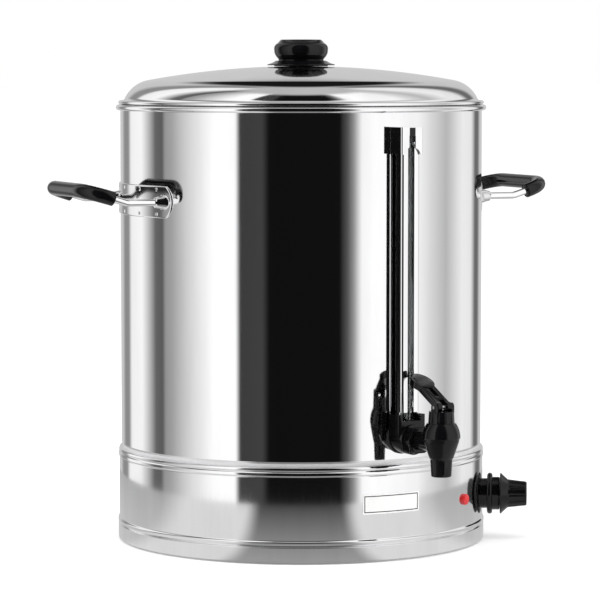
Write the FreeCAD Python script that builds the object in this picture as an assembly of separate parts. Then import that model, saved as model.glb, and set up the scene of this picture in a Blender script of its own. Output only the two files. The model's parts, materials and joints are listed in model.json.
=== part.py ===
import FreeCAD, Part
import os
from math import asin, cos, degrees, pi, radians, sin, sqrt

V = FreeCAD.Vector
ORIGIN = V(0, 0, 0)
UP = V(0, 0, 1)

# Driving sizes in millimetres. The tap faces -Y, and azimuths turn from there towards +X.
foot_proud = 2.0
base_height = 88.0
tank_height = 419.5
tank_r = 175.0
tank_wall = 1.2
sheet = 1.1

# Tank
rim_bead_r = 2.75
neck_r = tank_r - 1.5
neck_depth = 14.0
floor_corner_r = 8.0
seat_gap = 0.05

# Base ring
band_r = tank_r + 2.2
skirt_r = band_r + 1.0
skirt_height = 13.6
foot_bead_height = 6.2
bead_proud = 1.2
hem_height = 5.0
plate_recess = 10.0
flange_width = 12.0

# Lid
lid_gap = 0.3
lid_height = 36.9
lid_sheet = 1.0
crown_r = 818.0
shoulder_start_r = tank_r - 27.0
shoulder_r = 31.5
lid_roll_r = 1.9
lid_roll_centre_r = tank_r
lip_clearance = 1.6
lip_depth = 8.3
knob_height = 25.0
knob_r = 26.2
knob_neck_r = 21.8
knob_skirt_r = 33.0
knob_screw_r = 2.5
gasket_r = 26.0
gasket_thickness = 0.8

# Handles
right_handle_azimuth = 82.0
left_handle_azimuth = -98.0
handle_height = 332.0
plate_length = 138.0
plate_width = 30.0
plate_end_bulge = 8.0
plate_thickness = 1.5
arm_spacing = 116.0
rod_r = 3.3
cone_base_r = 8.5
cone_top_r = 4.6
cone_height = 10.0
rod_bend_reach = tank_r + 27.0
rod_out = 38.0
rod_reach = rod_bend_reach + rod_out
rod_rise = 16.5
rod_corner_r = rod_out * 0.658
rod_bend_r = rod_out * 0.37
grip_r = 6.8
grip_start = rod_out * 0.36

# Gauge
gauge_reach = tank_r + 10.0
glass_r = 4.5
glass_wall = 1.0
guard_width = 20.0
guard_depth = 12.0
guard_sheet = 1.0
guard_slot = 7.0
gauge_foot_z = 124.0
gauge_post_top_z = 138.0
gauge_post_width = 29.0
gauge_head_z = 378.0
gauge_head_height = 25.0
gauge_head_width = 24.0
head_wall = 2.0
head_stud_r = 3.0
head_stud_z = 396.0

# Tap
tap_z = 115.0
hub_length = 12.0
union_length = 10.0
tap_neck = 34.0
tap_reach = gauge_reach + hub_length + union_length + tap_neck
shank_r = 8.0
water_r = 4.5
flange_r = 14.0
seal_thickness = 2.0
body_r = 17.35
body_top_r = 13.2
nozzle_r = 9.3
nozzle_bore_r = 6.5
nozzle_z = 86.0
body_waist_z = 103.0
body_ledge_z = 123.0
body_top_z = 135.0
chamber_r = 10.5
seat_z = 108.0
bonnet_r = 12.0
bonnet_top_z = 146.0
bonnet_ribs = 12
lever_pin_r = 1.5
lever_pin_z = 150.0
lever_pin_back = -2.0
lever_width = 15.0
lever_thickness = 8.0
lever_rise = 28.0
lever_length = 44.0
pad_length = 28.0
pad_width = 20.0
pad_thickness = 6.0
nose_r = 1.6
nose_back = 3.0
nose_drop = 9.0
window_play = 0.45
fork_gap = 2.9
fork_width = 1.7
run_gap = 0.05
thermostat_bridge = 15.0
thermostat_body_length = 22.0

# Thermostat control
control_azimuth = 53.0
control_z = 44.0
collar_r = 14.5
disc_r = 20.0
waist_r = 16.0
collar_length = 4.7
disc_length = 5.0
waist_length = 7.0
knob_skirt_length = 7.0
knob_grip_length = 19.0
knob_grip_base_r = 13.6
knob_grip_tip_r = 11.7
knob_flutes = 12
spindle_r = 3.0

# Lamp
lamp_azimuth = 29.0
lamp_z = 48.0
lamp_r = 5.4
lamp_proud = 6.4
lamp_body_r = 4.8

# Heating and electrics
element_ring_r = 95.0
element_tube_r = 4.0
element_z = 110.0
element_gap = 40.0
gland_azimuth = 180.0
gland_z = 42.0
gland_bore_r = 4.2
gland_thread_r = 7.9
gland_hex = 22.0
foot_r = 15.0
foot_circle_r = 140.0
screw_r = 2.0
plate_screw_count = 6
vent_rows = 3
vent_count = 5
vent_pitch = 12.0
vent_length = 30.0
vent_width = 4.0
reset_r = 4.0
reset_x = 45.0
reset_y = 60.0
thermostat_screw_x = 11.0
bulb_x = 60.0
bulb_r = 3.0
bulb_length = 70.0
cutout_r = 12.0
block_x = -20.0
block_y = 105.0

# Heights and radii that follow from the sizes above
cup_top_z = seat_z + 21.0
cup_rim = 1.6
guide_r = 2.0
base_bottom = foot_proud
base_top = base_bottom + base_height
tank_inner_r = tank_r - tank_wall
floor_z = base_top + 2.0
floor_top = floor_z + tank_wall
rim_top = base_bottom + tank_height
rim_centre_z = rim_top - rim_bead_r
rim_centre_r = tank_inner_r + rim_bead_r
plate_top = base_bottom + plate_recess
plate_z = plate_top - sheet
lid_seat = rim_top + lid_gap
crown_top = lid_seat + lid_height - 0.3
plate_screw_circle = band_r - sheet - flange_width / 2
plate_r = band_r - sheet - 1.0


class Outline:
    """A closed outline in the XZ plane, drawn from point to point."""

    def __init__(self, x, z):
        self.start = V(x, 0, z)
        self.here = self.start
        self.edges = []

    def line(self, x, z):
        end = V(x, 0, z)
        self.edges.append(Part.LineSegment(self.here, end).toShape())
        self.here = end
        return self

    def arc(self, mid_x, mid_z, x, z):
        end = V(x, 0, z)
        self.edges.append(Part.Arc(self.here, V(mid_x, 0, mid_z), end).toShape())
        self.here = end
        return self

    def face(self):
        if self.here.distanceToPoint(self.start) > 1e-6:
            self.line(self.start.x, self.start.z)
        return Part.Face(Part.Wire(self.edges))

    def spun(self):
        return self.face().revolve(ORIGIN, UP, 360)


def save(node, shape):
    shape.exportStep("parts/" + node + ".step")


def box(x0, x1, y0, y1, z0, z1):
    return Part.makeBox(x1 - x0, y1 - y0, z1 - z0, V(x0, y0, z0))


def rod(radius, z0, z1):
    return Part.makeCylinder(radius, z1 - z0, V(0, 0, z0))


def outward(shape, azimuth, height):
    """Turns a shape built along Z, with its top towards Y, to point out of the tank."""
    placed = shape.copy()
    placed.rotate(ORIGIN, V(1, 0, 0), 90)
    placed.rotate(ORIGIN, UP, azimuth)
    placed.translate(V(0, 0, height))
    return placed


def hexagon(across_flats, z0, z1):
    corner = across_flats / 2 / cos(radians(30))
    points = [V(corner * cos(radians(60 * i)), corner * sin(radians(60 * i)), z0) for i in range(7)]
    return Part.Face(Part.makePolygon(points)).extrude(V(0, 0, z1 - z0))


def around(shape, count, start=0.0):
    copies = []
    for i in range(count):
        piece = shape.copy()
        piece.rotate(ORIGIN, UP, start + 360.0 * i / count)
        copies.append(piece)
    return Part.makeCompound(copies)


def tube_path(points, radii):
    """Straight runs joined by tangent arcs, one radius for each inner point."""
    edges = []
    here = points[0]
    for i in range(1, len(points) - 1):
        into = (points[i] - points[i - 1]).normalize()
        out = (points[i + 1] - points[i]).normalize()
        half_turn = into.getAngle(out) / 2
        reach = radii[i - 1] * sin(half_turn) / cos(half_turn)
        first = points[i] - into * reach
        last = points[i] + out * reach
        inward = (out - into).normalize()
        sagitta = radii[i - 1] * (1 / cos(half_turn) - 1)
        if here.distanceToPoint(first) > 1e-6:
            edges.append(Part.LineSegment(here, first).toShape())
        edges.append(Part.Arc(first, points[i] + inward * sagitta, last).toShape())
        here = last
    edges.append(Part.LineSegment(here, points[-1]).toShape())
    return Part.Wire(edges)


def tube(points, radii, radius):
    path = tube_path(points, radii)
    heading = points[1] - points[0]
    ring = Part.Wire([Part.makeCircle(radius, points[0], heading)])
    return path.makePipeShell([ring], True, True)


# Tank
def make_tank():
    bead = rim_bead_r
    over = rim_centre_r - tank_r
    under_z = rim_centre_z - sqrt(bead * bead - over * over)
    corner = floor_corner_r
    corner_mid = corner * (1 - cos(pi / 4))
    shape = Outline(0, floor_top)
    shape.line(tank_inner_r - corner, floor_top)
    shape.arc(tank_inner_r - corner_mid, floor_top + corner_mid, tank_inner_r, floor_top + corner)
    shape.line(tank_inner_r, rim_centre_z)
    shape.arc(rim_centre_r, rim_top, rim_centre_r + bead, rim_centre_z)
    shape.arc(rim_centre_r + bead * cos(pi / 4), rim_centre_z - bead * sin(pi / 4), tank_r, under_z)
    shape.line(tank_r, floor_top + 1.5)
    shape.line(neck_r, floor_z)
    shape.line(neck_r, floor_z - neck_depth)
    shape.line(neck_r - tank_wall, floor_z - neck_depth)
    shape.line(neck_r - tank_wall, floor_z)
    shape.line(0, floor_z)
    tank = shape.spun()
    shank_hole = outward(rod(shank_r + seat_gap, tank_inner_r - 10, tank_r + 10), 0, tap_z)
    stud_hole = outward(rod(head_stud_r + seat_gap, tank_inner_r - 10, tank_r + 10), 0, head_stud_z)
    tank = tank.cut(shank_hole).cut(stud_hole)
    for leg in element_legs():
        tank = tank.cut(Part.makeCylinder(element_tube_r + seat_gap, 20, V(leg.x, leg.y, floor_z - 5)))
    return tank


# Base ring with its hem, foot bead, skirt and the in-turned flange
def make_base_shell():
    inner = band_r - sheet
    bead_z = base_bottom + skirt_height
    bead_top = bead_z + foot_bead_height
    hem_z = base_top - 4.0
    rib_z = hem_z - hem_height
    lip = neck_r + seat_gap
    dip = 0.4
    shape = Outline(skirt_r - sheet, base_bottom)
    shape.line(skirt_r - 0.6, base_bottom)
    shape.line(skirt_r, base_bottom + 0.8)
    shape.line(skirt_r, bead_z)
    shape.line(band_r - dip, bead_z + 1.0)
    shape.line(band_r + bead_proud, bead_z + 2.4)
    shape.line(band_r + bead_proud, bead_top - 1.4)
    shape.line(band_r, bead_top)
    shape.line(band_r, rib_z - 0.5)
    shape.line(band_r - dip, rib_z)
    shape.line(band_r + 0.8, rib_z + 1.4)
    shape.line(band_r + 0.8, hem_z - 1.4)
    shape.line(band_r - dip, hem_z)
    shape.arc(band_r + 0.6, hem_z + 1.9, band_r - 1.6, base_top)
    shape.line(lip, base_top)
    shape.line(lip, base_top - 10)
    shape.line(lip + sheet, base_top - 10)
    shape.line(lip + sheet, base_top - 1.2)
    shape.line(inner, base_top - 1.2)
    shape.line(inner, plate_top + sheet)
    shape.line(inner - flange_width, plate_top + sheet)
    shape.line(inner - flange_width, plate_top)
    shape.line(skirt_r - sheet, plate_top)
    shell = shape.spun()
    holes = (
        (spindle_r + 1.3, control_azimuth, control_z),
        (lamp_body_r + seat_gap, lamp_azimuth, lamp_z),
        (gland_thread_r + seat_gap, gland_azimuth, gland_z),
    )
    for radius, azimuth, height in holes:
        shell = shell.cut(outward(rod(radius, inner - 10, band_r + 10), azimuth, height))
    for sign in (-1, 1):
        hole = rod(screw_r + seat_gap, inner - 10, band_r + 10)
        hole.translate(V(sign * thermostat_screw_x, 0, 0))
        shell = shell.cut(outward(hole, control_azimuth, control_z))
    screw_holes = around(Part.makeCylinder(screw_r + seat_gap, 6, V(plate_screw_circle, 0, plate_z - 2)),
                         plate_screw_count)
    return shell.cut(screw_holes)


def make_base_plate():
    plate = rod(plate_r, plate_z, plate_top)
    plate = plate.cut(around(Part.makeCylinder(screw_r + seat_gap, 6, V(plate_screw_circle, 0, plate_z - 2)),
                             plate_screw_count))
    plate = plate.cut(around(Part.makeCylinder(screw_r + seat_gap, 6, V(foot_circle_r, 0, plate_z - 2)), 4, 45))
    plate = plate.cut(Part.makeCylinder(reset_r + 0.4, 6, V(reset_x, reset_y, plate_z - 2)))
    for row in range(vent_rows):
        for i in range(vent_count):
            x = (row - (vent_rows - 1) / 2) * (vent_length + 10)
            y = -60 + (i - (vent_count - 1) / 2) * vent_pitch
            slot = box(x - vent_length / 2, x + vent_length / 2, y - vent_width / 2, y + vent_width / 2,
                       plate_z - 2, plate_top + 2)
            plate = plate.cut(slot)
    return plate


def pan_screw(radius, length, head_r, head_height):
    """A screw whose head stands below z = 0 and whose shank rises from there."""
    return rod(radius, 0, length).fuse(Part.makeCone(head_r * 0.7, head_r, head_height, V(0, 0, -head_height)))


def make_base_plate_screws():
    screw = pan_screw(screw_r, 5, 3.6, 2.0)
    screw.translate(V(plate_screw_circle, 0, plate_z))
    return around(screw, plate_screw_count)


def make_feet():
    foot = Outline(5.0, 0).line(foot_r - 2.5, 0).line(foot_r, 3.0).line(foot_r, plate_z)
    foot = foot.line(screw_r + 0.2, plate_z).line(screw_r + 0.2, 4.0).line(5.0, 4.0).spun()
    foot.translate(V(foot_circle_r, 0, 0))
    return around(foot, 4, 45)


def make_foot_screws():
    screw = pan_screw(screw_r, plate_top + 2.0 - 4.0, 4.0, 2.0)
    screw.translate(V(foot_circle_r, 0, 4.0))
    return around(screw, 4, 45)


# Lid
def shoulder_point(radius, angle):
    slope = asin(shoulder_start_r / crown_r)
    drop = crown_r * (1 - cos(slope))
    centre_r = shoulder_start_r - shoulder_r * sin(slope)
    centre_z = crown_top - drop - shoulder_r * cos(slope)
    return centre_r + radius * cos(radians(angle)), centre_z + radius * sin(radians(angle))


def crown_point(radius_in, offset):
    slope = asin(radius_in / crown_r)
    reach = crown_r - offset
    return reach * sin(slope), crown_top - crown_r + reach * cos(slope)


def make_lid_shell():
    steep = 90 - degrees(asin(shoulder_start_r / crown_r))
    outer_r = shoulder_r
    inner_r = shoulder_r - lid_sheet
    roll_z = lid_seat + lid_roll_r
    roll_x = lid_roll_centre_r
    lip_outer = tank_inner_r - lip_clearance
    lip_inner = lip_outer - lid_sheet
    shape = Outline(*crown_point(knob_screw_r + seat_gap, lid_sheet))
    shape.line(*crown_point(knob_screw_r + seat_gap, 0))
    shape.arc(*crown_point(shoulder_start_r / 2, 0), *crown_point(shoulder_start_r, 0))
    shape.arc(*shoulder_point(outer_r, (steep + 24) / 2), *shoulder_point(outer_r, 24))
    shape.line(roll_x - 1.4, roll_z + 1.4)
    shape.arc(roll_x + lid_roll_r * cos(0.2), roll_z + lid_roll_r * sin(0.2), roll_x, lid_seat)
    shape.line(lip_outer, lid_seat)
    shape.line(lip_outer, lid_seat - lip_depth)
    shape.line(lip_inner, lid_seat - lip_depth)
    shape.line(lip_inner, lid_seat + 1.0)
    shape.line(*shoulder_point(inner_r, 24))
    shape.arc(*shoulder_point(inner_r, (steep + 24) / 2), *crown_point(shoulder_start_r, lid_sheet))
    shape.arc(*crown_point(shoulder_start_r / 2, lid_sheet), *crown_point(knob_screw_r + seat_gap, lid_sheet))
    return shape.spun()


def make_lid_knob():
    foot_z = crown_top + gasket_thickness
    top = foot_z + knob_height
    skirt_top = foot_z + 4.6
    neck_z = skirt_top + 1.0
    belly_z = top - 10.2
    shape = Outline(knob_screw_r * 0.86, foot_z)
    shape.line(knob_skirt_r - 0.5, foot_z)
    shape.line(knob_skirt_r, foot_z + 0.6)
    shape.arc(28.0, foot_z + 2.0, 24.0, skirt_top)
    shape.line(knob_neck_r, skirt_top)
    shape.line(knob_neck_r, neck_z)
    shape.arc(knob_r - 1.0, belly_z - 5.2, knob_r, belly_z)
    shape.arc(knob_r - 2.9, belly_z + 6.4, 17.0, top - 0.3)
    shape.line(0, top)
    shape.line(0, foot_z + 14.0)
    shape.line(knob_screw_r * 0.86, foot_z + 14.0)
    return shape.spun()


def make_lid_knob_gasket():
    outer = Outline(knob_screw_r + 0.4, crown_top).line(gasket_r, crown_top)
    outer = outer.line(gasket_r, crown_top + gasket_thickness)
    outer = outer.line(knob_screw_r + 0.4, crown_top + gasket_thickness)
    return outer.spun()


def make_lid_knob_screw():
    under = crown_top - lid_sheet
    shape = Outline(0, under - 3.0).line(3.2, under - 3.0).line(4.6, under - 1.6).line(4.6, under - 0.02)
    shape = shape.line(knob_screw_r, under - 0.02).line(knob_screw_r, crown_top + gasket_thickness - 0.1)
    shape = shape.line(knob_screw_r * 0.85, crown_top + gasket_thickness).line(knob_screw_r * 0.85, under + 14.0)
    return shape.line(0, under + 14.0).spun()


# Handles, built pointing out along Z with X across and Y up
def handle_points():
    half = arm_spacing / 2
    foot = sqrt(tank_r ** 2 - half ** 2) + plate_thickness + 2.0
    slope = radians(rod_rise)
    tip_y = (rod_reach - rod_bend_reach) * sin(slope) / cos(slope)
    return [
        V(-half, 0, foot),
        V(-half, 0, rod_bend_reach),
        V(-half, tip_y, rod_reach),
        V(half, tip_y, rod_reach),
        V(half, 0, rod_bend_reach),
        V(half, 0, foot),
    ]


def make_handle_rod():
    return tube(handle_points(), [rod_bend_r, rod_corner_r, rod_corner_r, rod_bend_r], rod_r)


def make_handle_grip():
    points = handle_points()
    slope = (points[2] - points[1]).normalize()
    start = points[1] + slope * grip_start
    end = V(-start.x, start.y, start.z)
    path = [start, points[2], points[3], end]
    outer = tube(path, [rod_corner_r, rod_corner_r], grip_r)
    longer = [start - slope, points[2], points[3], V(-(start - slope).x, (start - slope).y, (start - slope).z)]
    return outer.cut(tube(longer, [rod_corner_r, rod_corner_r], rod_r))


def make_handle_plate():
    half = plate_length / 2
    straight = half - plate_end_bulge
    up = plate_width / 2
    shape = Outline(-straight, -up).line(straight, -up).arc(half, 0, straight, up)
    shape = shape.line(-straight, up).arc(-half, 0, -straight, -up).face()
    shape.rotate(ORIGIN, V(1, 0, 0), -90)
    slab = shape.extrude(V(0, 0, tank_r * 1.2))
    slab.translate(V(0, 0, 60))
    skin = Part.makeCylinder(tank_r + plate_thickness, plate_width * 2, V(0, -plate_width, 0), V(0, 1, 0))
    core = Part.makeCylinder(tank_r, plate_width * 4, V(0, -plate_width * 2, 0), V(0, 1, 0))
    plate = slab.common(skin)
    foot = handle_points()[0].z
    for sign in (-1, 1):
        x = sign * arm_spacing / 2
        cone = Part.makeCone(cone_base_r, cone_top_r, cone_height + 8, V(x, 0, foot - 10))
        bore = Part.makeCylinder(rod_r + seat_gap, 60, V(x, 0, foot))
        plate = plate.fuse(cone).cut(bore)
    return plate.cut(core).removeSplitter()


# Sight gauge, built with its reach along -Y
def guard_outline(width, depth, wall, slot, z0, z1):
    x = width / 2
    back = -(gauge_reach - depth / 2)
    front = back - depth
    outer = box(-x, x, front, back, z0, z1)
    outer = outer.makeFillet(2.5, [e for e in outer.Edges if abs(e.Length - (z1 - z0)) < 1e-6])
    inner = box(-x + wall, x - wall, front + wall, back - wall, z0 - 1, z1 + 1)
    return outer.cut(inner).cut(box(-slot / 2, slot / 2, front - 1, front + wall + 1, z0 - 1, z1 + 1))


def make_gauge_guard():
    low = gauge_post_top_z - 6.0
    guard = guard_outline(guard_width, guard_depth, guard_sheet, guard_slot, low, gauge_head_z + 8.0)
    ramp = Part.makeCylinder(8.0, guard_width * 2, V(-guard_width, -(gauge_reach - guard_depth / 2), low + 8.0),
                             V(1, 0, 0))
    toe = box(-guard_width, guard_width, -(gauge_reach + guard_depth), -(gauge_reach - guard_depth / 2 + 0.0),
              low - 1, low + 8.0)
    return guard.cut(toe.cut(ramp))


def make_gauge_glass():
    z0 = gauge_foot_z + 2.0
    z1 = gauge_head_z + gauge_head_height - 8.0
    glass = rod(glass_r, z0, z1).cut(rod(glass_r - glass_wall, z0 - 1, z1 + 1))
    glass.translate(V(0, -gauge_reach, 0))
    return glass


def make_gauge_bottom_seal():
    seal = rod(glass_r + 1.5, gauge_foot_z, gauge_foot_z + 8.0)
    seal = seal.cut(rod(glass_r, gauge_foot_z + 2.0, gauge_foot_z + 9.0))
    seal = seal.cut(rod(glass_r - glass_wall, gauge_foot_z - 1, gauge_foot_z + 9.0))
    seal.translate(V(0, -gauge_reach, 0))
    return seal


def make_gauge_top_seal():
    z1 = gauge_head_z + gauge_head_height - 8.0
    seal = rod(glass_r + 1.5, z1 - 6.0, z1 + 2.0).cut(rod(glass_r, z1 - 7.0, z1))
    seal.translate(V(0, -gauge_reach, 0))
    return seal


def make_gauge_top_bracket():
    z1 = gauge_head_z + gauge_head_height
    x = gauge_head_width / 2
    front = -(gauge_reach + guard_depth / 2 + head_wall)
    block = box(-x, x, front, -tank_r + 6, gauge_head_z, z1)
    block = block.makeFillet(1.5, [e for e in block.Edges if abs(e.Length - gauge_head_height) < 1e-6
                                   and e.CenterOfMass.y < -tank_r])
    pocket = box(-guard_width / 2 - seat_gap, guard_width / 2 + seat_gap,
                 front + head_wall - seat_gap, -(gauge_reach - guard_depth / 2) + seat_gap,
                 gauge_head_z - 1, gauge_head_z + 8.0 + seat_gap)
    upper = rod(glass_r + 1.5, gauge_head_z, z1 - 6.0)
    upper.translate(V(0, -gauge_reach, 0))
    window = box(-guard_slot / 2, guard_slot / 2, front - 1, -gauge_reach, gauge_head_z - 1, z1 - 8.0)
    arch = Part.makeCylinder(guard_width / 2 - 1.0, 30, V(0, front - 1, gauge_head_z - 2.0), V(0, 1, 0))
    arch = arch.common(box(-x, x, front - 1, -gauge_reach, gauge_head_z - 1, z1))
    stud = outward(rod(head_stud_r, tank_inner_r - 9.0, gauge_reach - glass_r - 2.0), 0, head_stud_z)
    block = block.cut(Part.makeCylinder(tank_r, 100, V(0, 0, gauge_head_z - 20)))
    return block.cut(pocket).cut(upper).cut(window).cut(arch).fuse(stud)


def make_gauge_bracket_nut():
    nut = hexagon(10.0, tank_inner_r - 6.5, tank_inner_r - 1.5).cut(rod(head_stud_r, tank_inner_r - 9, tank_inner_r))
    return outward(nut, 0, head_stud_z)


def make_gauge_bracket_seal():
    seal = rod(6.5, tank_inner_r - 1.5, tank_inner_r + 5).cut(rod(head_stud_r, tank_inner_r - 9, tank_inner_r + 9))
    seal = outward(seal, 0, head_stud_z)
    return seal.common(Part.makeCylinder(tank_inner_r, 100, V(0, 0, head_stud_z - 50)))


def make_gauge_block():
    hub = outward(rod(flange_r, tank_r, gauge_reach + hub_length), 0, tap_z)
    post = box(-gauge_post_width / 2, gauge_post_width / 2, -(gauge_reach + 8.0), -tank_r + 6.0,
               tap_z, gauge_post_top_z)
    block = hub.fuse(post)
    block = block.cut(Part.makeCylinder(tank_r + seal_thickness, 100, V(0, 0, tap_z - 50)))
    slot = box(-guard_width / 2 - seat_gap, guard_width / 2 + seat_gap,
               -(gauge_reach + 20.0), -(gauge_reach - guard_depth / 2) + seat_gap,
               gauge_post_top_z - 6.0, gauge_post_top_z + 1)
    socket = rod(glass_r + 1.5, gauge_foot_z, gauge_post_top_z + 1)
    channel = rod(glass_r - glass_wall, tap_z, gauge_post_top_z)
    for cutter in (socket, channel):
        cutter.translate(V(0, -gauge_reach, 0))
        block = block.cut(cutter)
    bore = outward(rod(shank_r + seat_gap, tank_r - 10, gauge_reach + 30), 0, tap_z)
    return block.cut(slot).cut(bore)


# Tap
def make_tap_outer_seal():
    seal = outward(rod(flange_r + 1.0, tank_r - 5, tank_r + 4).cut(rod(shank_r + seat_gap, tank_r - 15, tank_r + 15)), 0, tap_z)
    shell = Part.makeCylinder(tank_r + seal_thickness, 60, V(0, 0, tap_z - 30))
    return seal.common(shell.cut(Part.makeCylinder(tank_r, 80, V(0, 0, tap_z - 40))))


def make_tap_inner_seal():
    seal = outward(rod(flange_r - 1.0, tank_inner_r - 3.0, tank_r).cut(rod(shank_r + seat_gap, tank_r - 15, tank_r + 15)), 0, tap_z)
    return seal.common(Part.makeCylinder(tank_inner_r, 80, V(0, 0, tap_z - 40)))


def make_tap_back_nut():
    nut = hexagon(24.0, tank_inner_r - 9.0, tank_inner_r - 3.0).cut(rod(shank_r, tank_r - 25, tank_r + 15))
    return outward(nut, 0, tap_z)


def make_tap_union_nut():
    z0 = gauge_reach + hub_length
    nut = hexagon(shank_r * 2 + 7.0, z0, z0 + union_length)
    nut = nut.common(Part.makeCone(shank_r + 7.0, shank_r + 4.4, union_length, V(0, 0, z0)))
    nut = nut.cut(rod(shank_r + seat_gap, z0 - 1, z0 + union_length + 1))
    return outward(nut, 0, tap_z)


def make_tap_body():
    shape = Outline(nozzle_bore_r, nozzle_z).line(nozzle_r - 0.6, nozzle_z).line(nozzle_r, nozzle_z + 0.6)
    shape = shape.line(nozzle_r + 0.9, body_waist_z - 1.0).line(nozzle_r + 1.7, body_waist_z)
    shape = shape.arc(body_r - 3.2, body_waist_z + 9.0, body_r - 1.2, body_ledge_z - 5.0)
    shape = shape.line(body_r - 0.7, body_ledge_z - 2.0).line(body_r, body_ledge_z - 1.6)
    shape = shape.line(body_r, body_ledge_z)
    shape = shape.arc(body_r - 1.2, body_ledge_z + 6.2, body_top_r, body_top_z)
    shape = shape.line(chamber_r, body_top_z).line(chamber_r, cup_top_z - cup_rim)
    shape = shape.line(chamber_r - 1.2, cup_top_z - cup_rim).line(chamber_r - 1.2, seat_z + 4.0)
    shape = shape.line(nozzle_bore_r, seat_z)
    body = shape.spun()
    body.translate(V(0, -tap_reach, 0))
    shank = outward(rod(shank_r, tank_inner_r - 14.0, tap_reach - 12.0), 0, tap_z)
    bore = outward(rod(water_r, tank_inner_r - 20.0, tap_reach), 0, tap_z)
    chamber = rod(chamber_r - 1.2, seat_z + 4.0, body_top_z + 1)
    chamber.translate(V(0, -tap_reach, 0))
    port = rod(glass_r - glass_wall, tap_z, tap_z + shank_r + 1)
    port.translate(V(0, -gauge_reach, 0))
    return body.fuse(shank.cut(chamber)).cut(bore).cut(port)


def lever_pin_y():
    return -(tap_reach - lever_pin_back)


def make_tap_bonnet():
    wall = 2.2
    z0 = body_top_z
    cap = Part.makeCone(bonnet_r, bonnet_r - 0.6, bonnet_top_z - z0, V(0, 0, z0))
    cap = cap.cut(rod(bonnet_r - wall, z0 - 1, bonnet_top_z - wall))
    flute = around(Part.makeCylinder(0.9, 40, V(bonnet_r + 0.2, 0, z0 + 1.0)), bonnet_ribs, 15)
    cap = cap.cut(flute)
    skirt = rod(chamber_r - seat_gap, cup_top_z, z0 + 1.0)
    skirt = skirt.cut(rod(chamber_r - 2.2, cup_top_z - 1.0, z0 + 2.0))
    guide = rod(chamber_r - 2.0, cup_top_z + 2.0, cup_top_z + 4.5)
    cap = cap.fuse(skirt).fuse(guide).cut(rod(guide_r + run_gap, cup_top_z, z0))
    cap.translate(V(0, -tap_reach, 0))
    pin_y = lever_pin_y()
    ear_r = 3.6
    ear_inner = lever_width / 2 + 0.3
    ear_outer = ear_inner + 2.5
    ears = []
    for side in (-1, 1):
        low, high = sorted((side * ear_inner, side * ear_outer))
        ear = box(low, high, pin_y - ear_r, pin_y + ear_r, bonnet_top_z - 2.0, lever_pin_z)
        ears.append(ear.fuse(Part.makeCylinder(ear_r, high - low, V(low, pin_y, lever_pin_z), V(1, 0, 0))))
    for ear in ears:
        cap = cap.fuse(ear)
    well = Part.makeCylinder(lever_thickness / 2 + 0.7, lever_width + 0.6, V(-lever_width / 2 - 0.3, pin_y, lever_pin_z),
                             V(1, 0, 0))
    slot = box(-5.2, 5.2, -tap_reach - 6.5, -tap_reach + 9.4, bonnet_top_z - 4.0, bonnet_top_z + 1.0)
    pin_hole = Part.makeCylinder(lever_pin_r, 60, V(-30, pin_y, lever_pin_z), V(1, 0, 0))
    return cap.cut(well).cut(slot).cut(pin_hole)


def make_lever_pin():
    half = lever_width / 2 + 2.8
    return Part.makeCylinder(lever_pin_r, half * 2, V(-half, lever_pin_y(), lever_pin_z), V(1, 0, 0))


def make_tap_lever():
    half = lever_width / 2
    thick = lever_thickness / 2
    knuckle = Part.makeCylinder(thick + 0.3, lever_width, V(-half, 0, 0), V(1, 0, 0))
    bar = box(-half, half, 0, lever_length, -thick * 0.75, thick)
    bar = bar.makeFillet(1.2, [e for e in bar.Edges if abs(e.Length - lever_length) < 1e-6])
    slot = box(-2.2, 2.2, 12.0, 26.0, -thick - 1, thick + 1)
    pad = Part.makeCylinder(pad_width / 2, pad_thickness, V(0, 0, 0))
    stretch = FreeCAD.Matrix()
    stretch.scale(1.0, pad_length / pad_width, 1.0)
    pad = pad.transformGeometry(stretch)
    pad.rotate(ORIGIN, V(1, 0, 0), -6)
    pad.translate(V(0, lever_length - 6.0, -thick * 0.6))
    arm = knuckle.fuse(bar).cut(slot).cut(box(-fork_gap, fork_gap, -thick - 1, thick + 2, -thick - 1, thick + 1))
    arm = arm.fuse(pad)
    arm.rotate(ORIGIN, V(1, 0, 0), lever_rise)
    nose = V(0, nose_back, -nose_drop)
    for side in (-1, 1):
        low, high = sorted((side * fork_gap, side * (fork_gap + fork_width)))
        leg = box(low, high, -1.6, 1.6, -nose_drop, 0)
        leg.rotate(ORIGIN, V(1, 0, 0), degrees(asin(nose_back / sqrt(nose_back ** 2 + nose_drop ** 2))))
        arm = arm.fuse(leg.common(box(-9, 9, -9, 9, -nose_drop, 0)))
    cross = Part.makeCylinder(nose_r, (fork_gap + fork_width) * 2, V(-fork_gap - fork_width, nose.y, nose.z),
                              V(1, 0, 0))
    arm = arm.fuse(cross)
    arm = arm.cut(Part.makeCylinder(lever_pin_r + run_gap, 60, V(-30, 0, 0), V(1, 0, 0)))
    arm.translate(V(0, lever_pin_y(), lever_pin_z))
    return arm


def make_valve_stem():
    nose_z = lever_pin_z - nose_drop
    stem = rod(guide_r, seat_z + 6.0, nose_z - 3.0)
    wall = 1.2
    half_window = nose_r + window_play
    front = lever_pin_back + nose_back - nose_r - 0.8
    head = box(-2.5, 2.5, front - wall * 3, front + 11.4 - wall, nose_z - half_window - wall * 1.6,
               nose_z + half_window + wall)
    window = box(-3, 3, front, front + 11.4 - wall * 2, nose_z - half_window, nose_z + half_window)
    plug = rod(5.0, seat_z + 4.6, seat_z + 6.6)
    stem = stem.fuse(plug).fuse(head.cut(window))
    stem.translate(V(0, -tap_reach, 0))
    return stem


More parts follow.
